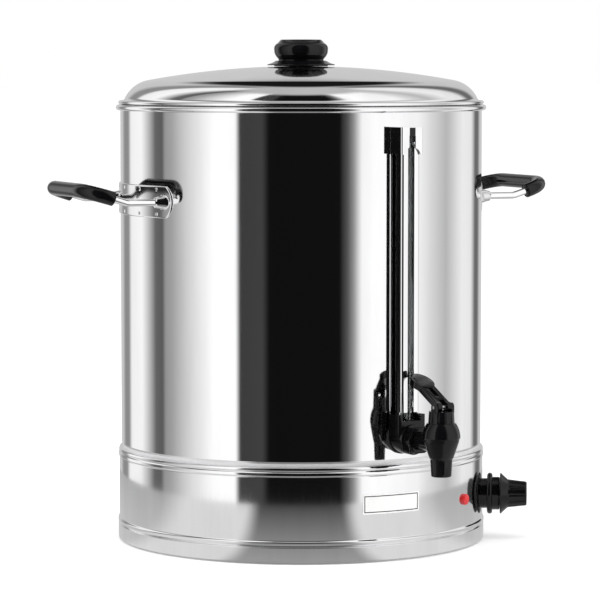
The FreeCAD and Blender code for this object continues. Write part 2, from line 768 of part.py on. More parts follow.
def make_seat_cup():
    top = cup_top_z
    rim_r = chamber_r - 0.1
    shape = Outline(0, seat_z + 0.2).line(5.2, seat_z + 0.2).line(6.4, seat_z + 0.2).line(8.0, seat_z + 4.6)
    shape = shape.line(8.2, seat_z + 12.0).line(8.2, top - cup_rim).line(rim_r, top - cup_rim).line(rim_r, top)
    shape = shape.line(6.8, top).line(6.8, seat_z + 12.0).line(5.8, seat_z + 6.8).line(5.2, seat_z + 4.5)
    shape = shape.line(0, seat_z + 4.5)
    cup = shape.spun()
    cup.translate(V(0, -tap_reach, 0))
    return cup


# Thermostat control
def make_control_collar():
    r0 = band_r - 0.6
    z1 = band_r + collar_length
    z2 = z1 + disc_length
    z3 = z2 + waist_length
    bore = spindle_r + 0.5
    shape = Outline(bore, r0).line(collar_r, r0).line(collar_r, z1).line(disc_r - 1.6, z1)
    shape = shape.arc(disc_r, (z1 + z2) / 2, disc_r - 1.6, z2).line(waist_r, z2).line(waist_r, z3 - 0.8)
    shape = shape.line(waist_r - 0.8, z3).line(bore, z3)
    collar = shape.spun()
    collar = collar.cut(Part.makeCylinder(band_r, 100, V(0, -50, 0), V(0, 1, 0)))
    for sign in (-1, 1):
        collar = collar.cut(Part.makeCylinder(screw_r + seat_gap, 60, V(sign * thermostat_screw_x, 0, r0 - 30)))
        collar = collar.cut(Part.makeCylinder(3.6, 30, V(sign * thermostat_screw_x, 0, z3 - 3.0)))
    return outward(collar, control_azimuth, control_z)


def make_thermostat_screws():
    z3 = band_r + collar_length + disc_length + waist_length
    screws = []
    for sign in (-1, 1):
        x = sign * thermostat_screw_x
        tip = thermostat_face() - 6.0
        screw = Part.makeCylinder(screw_r, z3 - 3.0 - tip, V(x, 0, tip))
        screws.append(screw.fuse(Part.makeCylinder(3.4, 2.0, V(x, 0, z3 - 3.0))))
    return outward(Part.makeCompound(screws), control_azimuth, control_z)


def make_control_knob():
    z0 = band_r + collar_length + disc_length + waist_length + 0.4
    z1 = z0 + knob_skirt_length
    z2 = z1 + knob_grip_length
    skirt = Outline(spindle_r, z0 + 2.0).line(waist_r - 3.0, z0 + 2.0).line(waist_r - 2.0, z0)
    skirt = skirt.line(disc_r - 0.4, z0).line(disc_r, z0 + 0.8)
    skirt = skirt.line(knob_grip_base_r + 0.4, z1).line(knob_grip_base_r, z1).line(knob_grip_tip_r, z2 - 1.2)
    skirt = skirt.arc(knob_grip_tip_r - 0.5, z2 - 0.4, knob_grip_tip_r - 1.6, z2)
    knob = skirt.line(0, z2).line(0, z1 + 8.0).line(spindle_r, z1 + 8.0).spun()
    lean = degrees(asin((knob_grip_base_r - knob_grip_tip_r) / knob_grip_length))
    flute = Part.makeCylinder(1.3, knob_grip_length * 1.2, V(knob_grip_base_r + 0.7, 0, z1 + 1.0))
    flute.rotate(V(knob_grip_base_r, 0, z1), V(0, 1, 0), -lean)
    return outward(knob.cut(around(flute, knob_flutes, 15)), control_azimuth, control_z)


def make_thermostat_spindle():
    z0 = band_r - sheet - 20.0
    z1 = band_r + collar_length + disc_length + waist_length + 0.4 + knob_skirt_length + 8.0
    return outward(rod(spindle_r, z0, z1), control_azimuth, control_z)


def thermostat_face():
    return sqrt((band_r - sheet - 0.3) ** 2 - thermostat_bridge ** 2)


def make_thermostat_body():
    face = thermostat_face()
    back = face - 2.0 - thermostat_body_length
    body = box(-17, 17, -14, 14, back, face - 2.0)
    bridge = box(-thermostat_bridge, thermostat_bridge, -7, 7, face - 2.0, face)
    body = body.fuse(bridge).cut(rod(spindle_r + run_gap, band_r - sheet - 20.5, face + 1))
    for sign in (-1, 1):
        body = body.cut(Part.makeCylinder(screw_r + seat_gap, 9, V(sign * thermostat_screw_x, 0, face - 8.0)))
    for x in (-10, 0, 10):
        body = body.fuse(box(x - 3, x + 3, -0.4, 0.4, back - 8.0, back + 0.1))
    return outward(body, control_azimuth, control_z)


# Lamp
def make_pilot_lamp_lens():
    z0 = band_r - 0.6
    shape = Outline(0, z0).line(lamp_r, z0).line(lamp_r, z0 + 3.4)
    shape = shape.arc(lamp_r * 0.8, z0 + lamp_proud - 0.7, 1.0, z0 + lamp_proud + 0.6)
    lens = shape.line(0, z0 + lamp_proud + 0.6).spun().cut(Part.makeCylinder(band_r, 60, V(0, -30, 0), V(0, 1, 0)))
    return outward(lens, lamp_azimuth, lamp_z)


def make_pilot_lamp_body():
    body = rod(lamp_body_r, band_r - 20.0, band_r - 0.1)
    nut = hexagon(14.0, band_r - sheet - 4.4, band_r - sheet - 0.4)
    for x in (-2, 2):
        body = body.fuse(box(x - 0.4, x + 0.4, -1.5, 1.5, band_r - 28.0, band_r - 19.9))
    return outward(body.fuse(nut), lamp_azimuth, lamp_z)


# Heating element and what is fixed to the tank's floor
def element_legs():
    half = asin(element_gap / 2 / element_ring_r)
    start = radians(-90)
    return [V(element_ring_r * cos(start + side * half), element_ring_r * sin(start + side * half), 0)
            for side in (1, -1)]


def make_heating_element():
    first, last = element_legs()
    turn_r = 12.0
    low = V(0, 0, floor_z - 14.0)
    ring_mid = V(0, element_ring_r, element_z)
    top = V(0, 0, element_z)
    run = V(first.y, -first.x, 0).normalize() * -turn_r
    if run.x < 0:
        run = run * -1
    edges = []
    diagonal = turn_r * (1 - cos(pi / 4))
    bend_up = first + V(0, 0, element_z - turn_r)
    bend_end = first + top + run
    edges.append(Part.LineSegment(first + low, bend_up).toShape())
    edges.append(Part.Arc(bend_up, bend_up + run * (diagonal / turn_r) + V(0, 0, turn_r * sin(pi / 4)),
                          bend_end).toShape())
    mirror_end = V(-bend_end.x, bend_end.y, bend_end.z)
    edges.append(Part.Arc(bend_end, ring_mid, mirror_end).toShape())
    mirror_up = V(-bend_up.x, bend_up.y, bend_up.z)
    mirror_mid = bend_up + run * (diagonal / turn_r) + V(0, 0, turn_r * sin(pi / 4))
    edges.append(Part.Arc(mirror_end, V(-mirror_mid.x, mirror_mid.y, mirror_mid.z), mirror_up).toShape())
    edges.append(Part.LineSegment(mirror_up, V(-first.x, first.y, low.z)).toShape())
    ring = Part.Wire([Part.makeCircle(element_tube_r, first + low, UP)])
    return Part.Wire(edges).makePipeShell([ring], True, True)


def at_legs(shape):
    copies = []
    for leg in element_legs():
        piece = shape.copy()
        piece.translate(V(leg.x, leg.y, 0))
        copies.append(piece)
    return Part.makeCompound(copies)


def make_element_seals():
    seal = rod(8.0, floor_top, floor_top + 2.0).cut(rod(element_tube_r, floor_top - 1, floor_top + 3))
    return at_legs(seal)


def make_element_nuts():
    nut = hexagon(14.0, floor_z - 6.0, floor_z).cut(rod(element_tube_r, floor_z - 7, floor_z + 1))
    return at_legs(nut)


def make_thermostat_bulb():
    bulb = Part.makeCylinder(bulb_r, bulb_length, V(bulb_x, -bulb_length / 2, floor_z - bulb_r), V(0, 1, 0))
    return bulb


def make_bulb_clip():
    z1 = floor_z
    clip = box(bulb_x - 12, bulb_x + 12, -6, 6, z1 - 2 * bulb_r - 1.0, z1)
    clip = clip.cut(box(bulb_x - 13, bulb_x - bulb_r - 1.0, -7, 7, z1 - 2 * bulb_r - 2, z1 - 1.0))
    clip = clip.cut(box(bulb_x + bulb_r + 1.0, bulb_x + 13, -7, 7, z1 - 2 * bulb_r - 2, z1 - 1.0))
    clip = clip.cut(box(bulb_x - bulb_r, bulb_x + bulb_r, -7, 7, z1 - 2 * bulb_r, z1 + 1))
    return clip


def make_capillary_tube():
    axis = V(sin(radians(control_azimuth)), -cos(radians(control_azimuth)), 0)
    back = axis * (thermostat_face() - 2.0 - thermostat_body_length)
    start = V(back.x, back.y, control_z + 10.0)
    points = [
        start,
        start - axis * 16.0,
        V(bulb_x + 16.0, -bulb_length / 2 - 34.0, floor_z - bulb_r - 14.0),
        V(bulb_x, -bulb_length / 2 - 18.0, floor_z - bulb_r),
        V(bulb_x, -bulb_length / 2, floor_z - bulb_r),
    ]
    return tube(points, [6.0, 8.0, 6.0], 1.0)


def make_thermal_cutout():
    body = Part.makeCylinder(cutout_r, 16.0, V(reset_x, reset_y, plate_top + 0.0))
    body = body.cut(Part.makeCylinder(reset_r + 0.3, 8.0, V(reset_x, reset_y, plate_top - 1.0)))
    for x in (-5, 5):
        body = body.fuse(box(reset_x + x - 3, reset_x + x + 3, reset_y - 0.4, reset_y + 0.4,
                             plate_top + 15.9, plate_top + 24.0))
    return body


def make_reset_button():
    return Part.makeCylinder(reset_r, plate_top + 4.0 - plate_z + 1.6, V(reset_x, reset_y, plate_z - 1.6))


def make_terminal_block():
    body = box(block_x - 24, block_x + 24, block_y - 10, block_y + 10, plate_top, plate_top + 16.0)
    for i in range(4):
        x = block_x - 18 + 12 * i
        body = body.cut(Part.makeCylinder(2.4, 6, V(x, block_y, plate_top + 12.0)))
        body = body.cut(box(x - 4.5, x + 4.5, block_y - 11, block_y - 6, plate_top + 5.0, plate_top + 17.0))
    return body


def make_earth_stud():
    stud = Part.makeCylinder(2.4, 14.0, V(60, 110, plate_top))
    nut = hexagon(8.0, plate_top + 5.0, plate_top + 9.0)
    nut.translate(V(60, 110, 0))
    return stud.fuse(nut)


def make_internal_leads():
    """Leads from the terminal block to the element's two ends and to the lamp's side."""
    leads = []
    targets = [V(leg.x, leg.y, floor_z - 14.4) for leg in element_legs()]
    for i, target in enumerate(targets):
        x = block_x - 6 + 12 * i
        start = V(x, block_y - 8.0, plate_top + 8.0)
        points = [
            start,
            V(x, block_y - 26.0, plate_top + 8.0 + 6.0 * i),
            V(target.x, target.y + 40.0, plate_top + 22.0),
            V(target.x, target.y, plate_top + 34.0),
            target,
        ]
        leads.append(tube(points, [10.0, 20.0, 14.0], 1.3))
    return Part.makeCompound(leads)


def make_cable_gland():
    z0 = band_r - sheet - 12.0
    z1 = band_r
    body = rod(gland_thread_r, z0, z1).fuse(hexagon(gland_hex, z1, z1 + 5.0)).fuse(rod(8.2, z1 + 5.0, z1 + 11.0))
    body = body.cut(rod(gland_bore_r + 1.5, z0 - 1, z1 + 12.0))
    return outward(body, gland_azimuth, gland_z)


def make_gland_nut():
    z1 = band_r + 5.0
    shape = Outline(8.2, z1 + 0.2).line(11.0, z1 + 0.2).line(11.0, z1 + 8.0).arc(9.9, z1 + 11.8, 6.2, z1 + 14.0)
    shape = shape.line(gland_bore_r, z1 + 14.0).line(gland_bore_r, z1 + 9.0).line(8.2, z1 + 7.0)
    nut = shape.spun().cut(around(box(10.2, 13, -1.0, 1.0, z1 - 1, z1 + 8.5), 12))
    return outward(nut, gland_azimuth, gland_z)


def make_gland_seal():
    z1 = band_r
    seal = rod(gland_bore_r + 1.5, z1 + 1.0, z1 + 11.0).cut(rod(gland_bore_r, z1, z1 + 12.0))
    return outward(seal, gland_azimuth, gland_z)


def make_gland_lock_nut():
    z1 = band_r - sheet
    nut = hexagon(20.0, z1 - 5.0, z1 - 0.7).cut(rod(gland_thread_r, z1 - 6, z1))
    return outward(nut, gland_azimuth, gland_z)


def main():
    os.makedirs("parts", exist_ok=True)
    save("tank", make_tank())
    save("base_shell", make_base_shell())
    save("base_plate", make_base_plate())
    save("base_plate_screws", make_base_plate_screws())
    save("feet", make_feet())
    save("foot_screws", make_foot_screws())
    save("lid_shell", make_lid_shell())
    save("lid_knob", make_lid_knob())
    save("lid_knob_gasket", make_lid_knob_gasket())
    save("lid_knob_screw", make_lid_knob_screw())
    for side, azimuth in (("right", right_handle_azimuth), ("left", left_handle_azimuth)):
        save(side + "_handle_plate", outward(make_handle_plate(), azimuth, handle_height))
        save(side + "_handle_rod", outward(make_handle_rod(), azimuth, handle_height))
        save(side + "_handle_grip", outward(make_handle_grip(), azimuth, handle_height))
    save("gauge_block", make_gauge_block())
    save("gauge_guard", make_gauge_guard())
    save("gauge_glass", make_gauge_glass())
    save("gauge_bottom_seal", make_gauge_bottom_seal())
    save("gauge_top_seal", make_gauge_top_seal())
    save("gauge_top_bracket", make_gauge_top_bracket())
    save("gauge_bracket_nut", make_gauge_bracket_nut())
    save("gauge_bracket_seal", make_gauge_bracket_seal())
    save("tap_outer_seal", make_tap_outer_seal())
    save("tap_inner_seal", make_tap_inner_seal())
    save("tap_back_nut", make_tap_back_nut())
    save("tap_union_nut", make_tap_union_nut())
    save("tap_body", make_tap_body())
    save("tap_bonnet", make_tap_bonnet())
    save("lever_pin", make_lever_pin())
    save("tap_lever", make_tap_lever())
    save("valve_stem", make_valve_stem())
    save("seat_cup", make_seat_cup())
    save("control_collar", make_control_collar())
    save("thermostat_screws", make_thermostat_screws())
    save("control_knob", make_control_knob())
    save("thermostat_spindle", make_thermostat_spindle())
    save("thermostat_body", make_thermostat_body())
    save("thermostat_bulb", make_thermostat_bulb())
    save("bulb_clip", make_bulb_clip())
    save("capillary_tube", make_capillary_tube())
    save("pilot_lamp_lens", make_pilot_lamp_lens())
    save("pilot_lamp_body", make_pilot_lamp_body())
    save("heating_element", make_heating_element())
    save("element_seals", make_element_seals())
    save("element_nuts", make_element_nuts())
    save("thermal_cutout", make_thermal_cutout())
    save("reset_button", make_reset_button())
    save("terminal_block", make_terminal_block())
    save("earth_stud", make_earth_stud())
    save("internal_leads", make_internal_leads())
    save("cable_gland", make_cable_gland())
    save("gland_nut", make_gland_nut())
    save("gland_seal", make_gland_seal())
    save("gland_lock_nut", make_gland_lock_nut())


main()
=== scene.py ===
import json
from math import asin, atan2, cos, degrees, hypot, pi, radians, sin, sqrt, tan

import bmesh
import bpy
from mathutils import Matrix, Vector


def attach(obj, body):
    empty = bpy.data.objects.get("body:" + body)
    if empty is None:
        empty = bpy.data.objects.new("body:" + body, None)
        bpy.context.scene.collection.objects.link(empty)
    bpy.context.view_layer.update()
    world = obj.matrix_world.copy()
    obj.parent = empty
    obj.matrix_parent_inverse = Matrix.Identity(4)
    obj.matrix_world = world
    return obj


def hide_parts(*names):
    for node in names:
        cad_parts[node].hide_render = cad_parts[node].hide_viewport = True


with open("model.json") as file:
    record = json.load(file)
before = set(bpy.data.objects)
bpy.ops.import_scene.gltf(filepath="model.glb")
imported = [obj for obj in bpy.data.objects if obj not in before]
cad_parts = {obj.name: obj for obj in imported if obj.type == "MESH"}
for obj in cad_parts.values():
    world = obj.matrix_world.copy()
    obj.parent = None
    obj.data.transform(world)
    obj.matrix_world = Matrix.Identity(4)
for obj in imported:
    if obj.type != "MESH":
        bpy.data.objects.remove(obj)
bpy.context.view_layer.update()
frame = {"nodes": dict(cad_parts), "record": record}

MM = 0.001
CAMERA_AZIMUTH = radians(-32.0)
TURNS = 256

# Sizes in millimetres, the same as the solids have
TANK_R = 175.0
TANK_INNER_R = 173.8
RIM_TOP = 421.5
RIM_BEAD_R = 2.75
FLOOR_Z = 92.0
BASE_BOTTOM = 2.0
BASE_TOP = 90.0
BAND_R = 177.2
SKIRT_R = 178.2
SHEET = 1.1
PLATE_TOP = 12.0
LID_SEAT = 421.8
CROWN_TOP = 458.4
CROWN_R = 818.0
SHOULDER_R = 31.5
SHOULDER_START_R = 148.0


class Calc:
    """A number or colour on its way through a material's nodes, with plain arithmetic."""

    def __init__(self, tree, socket):
        self.tree = tree
        self.socket = socket

    def node(self, kind, *values, **settings):
        """Adds a node, sets its settings, feeds its inputs in order and returns its first output."""
        made = self.tree.nodes.new(kind)
        for key, value in settings.items():
            setattr(made, key, value)
        for target, value in zip(made.inputs, values):
            feed(self.tree, target, value)
        return Calc(self.tree, made.outputs[0])

    def math(self, operation, *others):
        return self.node("ShaderNodeMath", self, *others, operation=operation)

    def __add__(self, other):
        return self.math("ADD", other)

    def __mul__(self, other):
        return self.math("MULTIPLY", other)

    def __sub__(self, other):
        return self.math("SUBTRACT", other)

    def __truediv__(self, other):
        return self.math("DIVIDE", other)

    def __pow__(self, other):
        return self.math("POWER", other)

    def most(self, other):
        return self.math("MAXIMUM", other)

    def ramp(self, low, high, start=0.0, end=1.0, smooth=True):
        """From start to end as the value goes from low to high, held outside."""
        made = self.tree.nodes.new("ShaderNodeMapRange")
        made.interpolation_type = "SMOOTHSTEP" if smooth else "LINEAR"
        names = ("Value", "From Min", "From Max", "To Min", "To Max")
        for name, value in zip(names, (self, low, high, start, end)):
            feed(self.tree, made.inputs[name], value)
        return Calc(self.tree, made.outputs["Result"])

    def between(self, first, second):
        """The colour or value a share of the way from first to second."""
        made = self.tree.nodes.new("ShaderNodeMix")
        made.data_type = "RGBA"
        feed(self.tree, made.inputs["Factor"], self)
        feed(self.tree, made.inputs[6], first)
        feed(self.tree, made.inputs[7], second)
        return Calc(self.tree, made.outputs[2])


def feed(tree, target, value):
    """Links or sets an input; a colour of three numbers gets full alpha."""
    if isinstance(value, Calc):
        tree.links.new(value.socket, target)
    elif isinstance(value, (tuple, list)) and len(value) == 3 and len(target.default_value) == 4:
        target.default_value = (*value, 1.0)
    else:
        target.default_value = value


class Finish:
    """A principled material, with the coordinates and noises that its colour and bump are made from."""

    def __init__(self, name, **constants):
        self.material = bpy.data.materials.new(name)
        self.material.use_nodes = True
        self.tree = self.material.node_tree
        self.shader = self.tree.nodes["Principled BSDF"]
        self.set(**constants)
        coordinates = self.tree.nodes.new("ShaderNodeTexCoord")
        self.place = Calc(self.tree, coordinates.outputs["Object"])

    def axes(self):
        split = self.tree.nodes.new("ShaderNodeSeparateXYZ")
        feed(self.tree, split.inputs[0], self.place)
        return [Calc(self.tree, split.outputs[i]) for i in range(3)]

    def noise(self, scale, detail=3.0, roughness=0.5, stretch=(1.0, 1.0, 1.0)):
        at = self.place.node("ShaderNodeVectorMath", self.place, stretch, operation="MULTIPLY")
        made = self.tree.nodes.new("ShaderNodeTexNoise")
        for name, value in (("Vector", at), ("Scale", scale), ("Detail", detail), ("Roughness", roughness)):
            feed(self.tree, made.inputs[name], value)
        return Calc(self.tree, made.outputs["Fac"])

    def set(self, **inputs):
        for key, value in inputs.items():
            feed(self.tree, self.shader.inputs[key.replace("_", " ")], value)

    def bump(self, height, distance):
        made = self.tree.nodes.new("ShaderNodeBump")
        for name, value in (("Distance", distance), ("Strength", 1.0), ("Height", height)):
            feed(self.tree, made.inputs[name], value)
        self.set(Normal=Calc(self.tree, made.outputs["Normal"]))


# Geometry, worked out in millimetres
def rounded(points, steps=4):
    """A line of (r, z) or (r, z, radius) points, with the corners that have a radius rounded."""
    made = []
    count = len(points)
    for i, point in enumerate(points):
        here = Vector(point[:2])
        radius = point[2] if len(point) > 2 else 0.0
        if i in (0, count - 1) or radius <= 0:
            made.append(here)
            continue
        before = Vector(points[i - 1][:2]) - here
        after = Vector(points[i + 1][:2]) - here
        angle = before.angle(after)
        if angle > pi - 0.02:
            made.append(here)
            continue
        reach = min(radius / tan(angle / 2), before.length * 0.48, after.length * 0.48)
        radius = reach * tan(angle / 2)
        first = here + before.normalized() * reach
        last = here + after.normalized() * reach
        middle = (before.normalized() + after.normalized()).normalized()
        centre = here + middle * (radius / sin(angle / 2))
        start = first - centre
        sweep = start.angle_signed(last - centre)
        for step in range(steps + 1):
            turned = start.copy()
            turned.rotate(Matrix.Rotation(-sweep * step / steps, 2))
            made.append(centre + turned)
    return [(p.x, p.y) for p in made]


def arc(centre, radius, start, end, steps):
    """Points (r, z) on an arc, in degrees from the r axis towards z."""
    made = []
    for i in range(steps + 1):
        angle = radians(start + (end - start) * i / steps)
        made.append((centre[0] + radius * cos(angle), centre[1] + radius * sin(angle)))
    return made


def held_walls(profile, long_wall=8.0, margin=0.5):
    """The profile with a row near each end of every long straight wall, so its shading stays level."""
    made = []
    for (r0, z0), (r1, z1) in zip(profile, profile[1:]):
        span = sqrt((r1 - r0) ** 2 + (z1 - z0) ** 2)
        shares = (0.0, margin / span, 1.0 - margin / span) if span > long_wall else (0.0,)
        made += [(r0 + (r1 - r0) * share, z0 + (z1 - z0) * share) for share in shares]
    return made + [profile[-1]]


def spun(profile, turns, reshape=None, closed=False):
    """Vertices and faces of a profile turned about Z; reshape(angle, r, z) may move a point."""
    verts = []
    faces = []
    rows = []
    for r, z in held_walls(profile):
        if r < 1e-4:
            rows.append([len(verts)])
            verts.append((0.0, 0.0, z))
            continue
        row = []
        for i in range(turns):
            angle = 2 * pi * i / turns
            radius, height = (r, z) if reshape is None else reshape(angle, r, z)
            row.append(len(verts))
            verts.append((radius * sin(angle), -radius * cos(angle), height))
        rows.append(row)
    pairs = list(zip(rows, rows[1:]))
    if closed:
        pairs.append((rows[-1], rows[0]))
    for low, high in pairs:
        if len(low) == 1 and len(high) == 1:
            continue
        for i in range(turns):
            j = (i + 1) % turns
            if len(low) == 1:
                faces.append((low[0], high[j], high[i]))
            elif len(high) == 1:
                faces.append((low[i], low[j], high[0]))
            else:
                faces.append((low[i], low[j], high[j], high[i]))
    return verts, faces


def swept(path, radius, sides=24):
    """A round tube along a line of points; radius is a number or a function of the share along it."""
    points = [Vector(p) for p in path]
    lengths = [0.0]
    for a, b in zip(points, points[1:]):
        lengths.append(lengths[-1] + (b - a).length)
    verts = []
    faces = []
    across = None
    for i, point in enumerate(points):
        ahead = points[min(i + 1, len(points) - 1)] - points[max(i - 1, 0)]
        ahead.normalize()
        if across is None:
            across = ahead.orthogonal().normalized()
        across = (across - ahead * across.dot(ahead)).normalized()
        other = ahead.cross(across)
        share = lengths[i] / lengths[-1]
        size = radius(share) if callable(radius) else radius
        for k in range(sides):
            angle = 2 * pi * k / sides
            verts.append(tuple(point + across * (size * cos(angle)) + other * (size * sin(angle))))
    for i in range(len(points) - 1):
        for k in range(sides):
            j = (k + 1) % sides
            faces.append((i * sides + k, i * sides + j, (i + 1) * sides + j, (i + 1) * sides + k))
    faces.append(tuple(reversed(range(sides))))
    faces.append(tuple(range(len(verts) - sides, len(verts))))
    return verts, faces


def bent(points, radii, steps=14):
    """Straight runs joined by arcs, one radius for each inner point."""
    made = [Vector(points[0])]
    for i in range(1, len(points) - 1):
        here = Vector(points[i])
        before = (Vector(points[i - 1]) - here).normalized()
        after = (Vector(points[i + 1]) - here).normalized()
        half = before.angle(after) / 2
        reach = radii[i - 1] / tan(half)
        first = here + before * reach
        last = here + after * reach
        centre = here + (before + after).normalized() * (radii[i - 1] / sin(half))
        arm = first - centre
        axis = arm.cross(last - centre).normalized()
        sweep = arm.angle(last - centre)
        for step in range(steps + 1):
            made.append(centre + Matrix.Rotation(sweep * step / steps, 3, axis) @ arm)
    made.append(Vector(points[-1]))
    return made


def block(x0, x1, y0, y1, z0, z1):
    verts = [(x, y, z) for x in (x0, x1) for y in (y0, y1) for z in (z0, z1)]
    faces = [(0, 1, 3, 2), (4, 6, 7, 5), (0, 4, 5, 1), (2, 3, 7, 6), (0, 2, 6, 4), (1, 5, 7, 3)]
    return verts, faces


def outward(azimuth, height):
    """Turns a shape built along Z, with its top towards Y, to point out of the tank."""
    turn = Matrix.Rotation(radians(azimuth), 4, "Z") @ Matrix.Rotation(pi / 2, 4, "X")
    return Matrix.Translation((0, 0, height)) @ turn


def linked(name, data):
    """A new object with this mesh, lamp or camera."""
    made = bpy.data.objects.new(name, data)
    bpy.context.scene.collection.objects.link(made)
    return made


def soften(made, width, sharp):
    """Rounds the edges that turn by more than an angle."""
    rounding = made.modifiers.new("rounding", "BEVEL")
    rounding.width = width * MM
    rounding.segments = 3
    rounding.limit_method = "ANGLE"
    rounding.angle_limit = radians(sharp)
    graph = bpy.context.evaluated_depsgraph_get()
    mesh = bpy.data.meshes.new_from_object(made.evaluated_get(graph))
    made.modifiers.clear()
    old = made.data
    made.data = mesh
    bpy.data.meshes.remove(old)
    mesh.name = made.name


def settle(made, finish, body, stands_for, sharp):
    """Gives a piece its shading and finish, puts it on its body and hides the solids that it stands for."""
    mesh = made.data
    mesh.shade_smooth()
    mesh.set_sharp_from_angle(angle=radians(sharp))
    mesh.materials.clear()
    mesh.materials.append(finish.material)
    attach(made, body)
    if stands_for:
        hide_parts(*stands_for)


def piece(name, shape, finish, body="urn", place=None, stands_for=(), sharp=30.0, bevel=0.0):
    """A named mesh in the row frame, smooth up to an angle, riding on a body."""
    verts, faces = shape
    place = Matrix.Identity(4) if place is None else place
    mesh = bpy.data.meshes.new(name)
    mesh.from_pydata([tuple((place @ Vector(v)) * MM) for v in verts], [], faces)
    made = linked(name, mesh)
    work = bmesh.new()
    work.from_mesh(mesh)
    bmesh.ops.remove_doubles(work, verts=work.verts, dist=1e-7)
    bmesh.ops.recalc_face_normals(work, faces=work.faces)
    work.to_mesh(mesh)
    work.free()
    if bevel > 0:
        soften(made, bevel, sharp)
    settle(made, finish, body, stands_for, sharp)


# Finishes
def polished_steel(name, tone, rough, ripple, satin_within=None):
    """Mirror-polished sheet: nearly even, with faint polishing marks and a little waviness. It is satin
    inside the radius satin_within, in metres."""
    made = Finish(name, Metallic=1.0)
    smear = made.noise(26.0, 4.0, 0.6, (1.0, 1.0, 0.12))
    fine = made.noise(900.0, 2.0, 0.5, (1.0, 1.0, 0.04))
    marks = smear.ramp(0.35, 0.75)
    roughness = marks * 0.02 + fine.ramp(0.3, 0.8) * 0.02 + rough
    if satin_within:
        x, y, z = made.axes()
        within = ((x * x + y * y) ** 0.5).ramp(satin_within, satin_within + 0.0003, 1.0, 0.0)
        roughness = roughness + within * 0.34
        made.set(Metallic=within * -0.5 + 1.0)
    made.set(
        Base_Color=marks.between((tone, tone, tone * 1.01), (tone * 0.93, tone * 0.93, tone * 0.94)),
        Roughness=roughness,
    )
    wave = made.noise(5.0, 2.0, 0.4, (1.0, 1.0, 0.5))
    made.bump(wave, ripple)
    return made


def moulded(name, colour, rough, grain=0.00003, scale=900.0, shine=0.5):
    """Moulded plastic with a fine grain and handling marks."""
    made = Finish(name, Specular_IOR_Level=shine)
    grains = made.noise(scale, 3.0, 0.6)
    worn = made.noise(60.0, 4.0, 0.6).ramp(0.45, 0.75)
    lighter = tuple(min(1.0, c * 1.3 + 0.001) for c in colour)
    made.set(Base_Color=worn.between(colour, lighter), Roughness=worn * 0.08 + grains * 0.06 + rough)
    made.bump(grains, grain)
    return made


def plain_metal(name, colour, rough):
    made = Finish(name, Metallic=1.0)
    grain = made.noise(300.0, 4.0, 0.6, (1.0, 1.0, 0.2))
    stain = made.noise(40.0, 4.0, 0.6).ramp(0.4, 0.8)
    darker = tuple(c * 0.8 for c in colour)
    made.set(Base_Color=stain.between(colour, darker), Roughness=grain * 0.12 + rough)
    made.bump(grain, 0.00003)
    return made


def clear_glass(name):
    made = Finish(name, IOR=1.47, Transmission_Weight=1.0)
    film = made.noise(60.0, 3.0, 0.6, (1.0, 1.0, 0.1))
    made.set(Base_Color=film.between((0.97, 0.985, 0.985), (0.92, 0.95, 0.95)), Roughness=film * 0.02)
    return made


def red_lens(name):
    made = Finish(name, IOR=1.45, Coat_Weight=0.15, Coat_Roughness=0.05)
    facets = made.noise(1400.0, 1.0, 0.5)
    red = facets.between((0.66, 0.03, 0.035), (0.48, 0.018, 0.022))
    made.set(Base_Color=red, Roughness=facets * 0.1 + 0.12)
    made.bump(facets, 0.0001)
    return made


TANK_STEEL = polished_steel("tank_steel", 0.86, 0.045, 0.00012, satin_within=0.174)
BASE_STEEL = polished_steel("base_steel", 0.86, 0.06, 0.00012)
LID_STEEL = polished_steel("lid_steel", 0.86, 0.05, 0.0001)
PLATE_STEEL = polished_steel("plate_steel", 0.84, 0.10, 0.0001)
CHROME = polished_steel("chrome", 0.88, 0.035, 0.00003)
BLACK = moulded("black_plastic", (0.004, 0.004, 0.0045), 0.22, shine=0.32)
GLOSSY_BLACK = moulded("glossy_black", (0.0025, 0.0025, 0.003), 0.08, 0.000008, shine=0.3)
GLASS = clear_glass("gauge_glass_clear")
LENS = red_lens("lamp_red")
SLOT_FINISHES = {
    "mirror_steel": BASE_STEEL,
    "plain_steel": plain_metal("plain_steel", (0.55, 0.55, 0.55), 0.28),
    "chromed": CHROME,
    "element_steel": plain_metal("element_steel", (0.36, 0.35, 0.33), 0.32),
    "black_plastic": BLACK,
    "dark_plastic": moulded("dark_plastic", (0.05, 0.05, 0.055), 0.4),
    "pale_plastic": moulded("pale_plastic", (0.62, 0.6, 0.52), 0.42),
    "red_plastic": moulded("red_plastic", (0.5, 0.025, 0.02), 0.3),
    "red_lens": LENS,
    "black_rubber": moulded("black_rubber", (0.018, 0.018, 0.018), 0.6, 0.00006, 500.0),
    "silicone": moulded("silicone", (0.62, 0.6, 0.56), 0.45),
    "clear_glass": GLASS,
    "copper": plain_metal("copper", (0.7, 0.33, 0.18), 0.25),
    "brass": plain_metal("brass", (0.68, 0.48, 0.2), 0.25),
    "lead_sleeve": moulded("lead_sleeve", (0.45, 0.07, 0.04), 0.5),
}


def dress_solids():
    """Every carried-over solid gets its slot's finish."""
    slots = {entry["node"]: entry["material_slot"] for entry in frame["record"]["subparts"]}
    dark_seals = ("gauge_top_seal", "gauge_bottom_seal")
    for node, solid in frame["nodes"].items():
        finish = SLOT_FINISHES["black_rubber" if node in dark_seals else slots[node]]
        solid.data.materials.clear()
        solid.data.materials.append(finish.material)


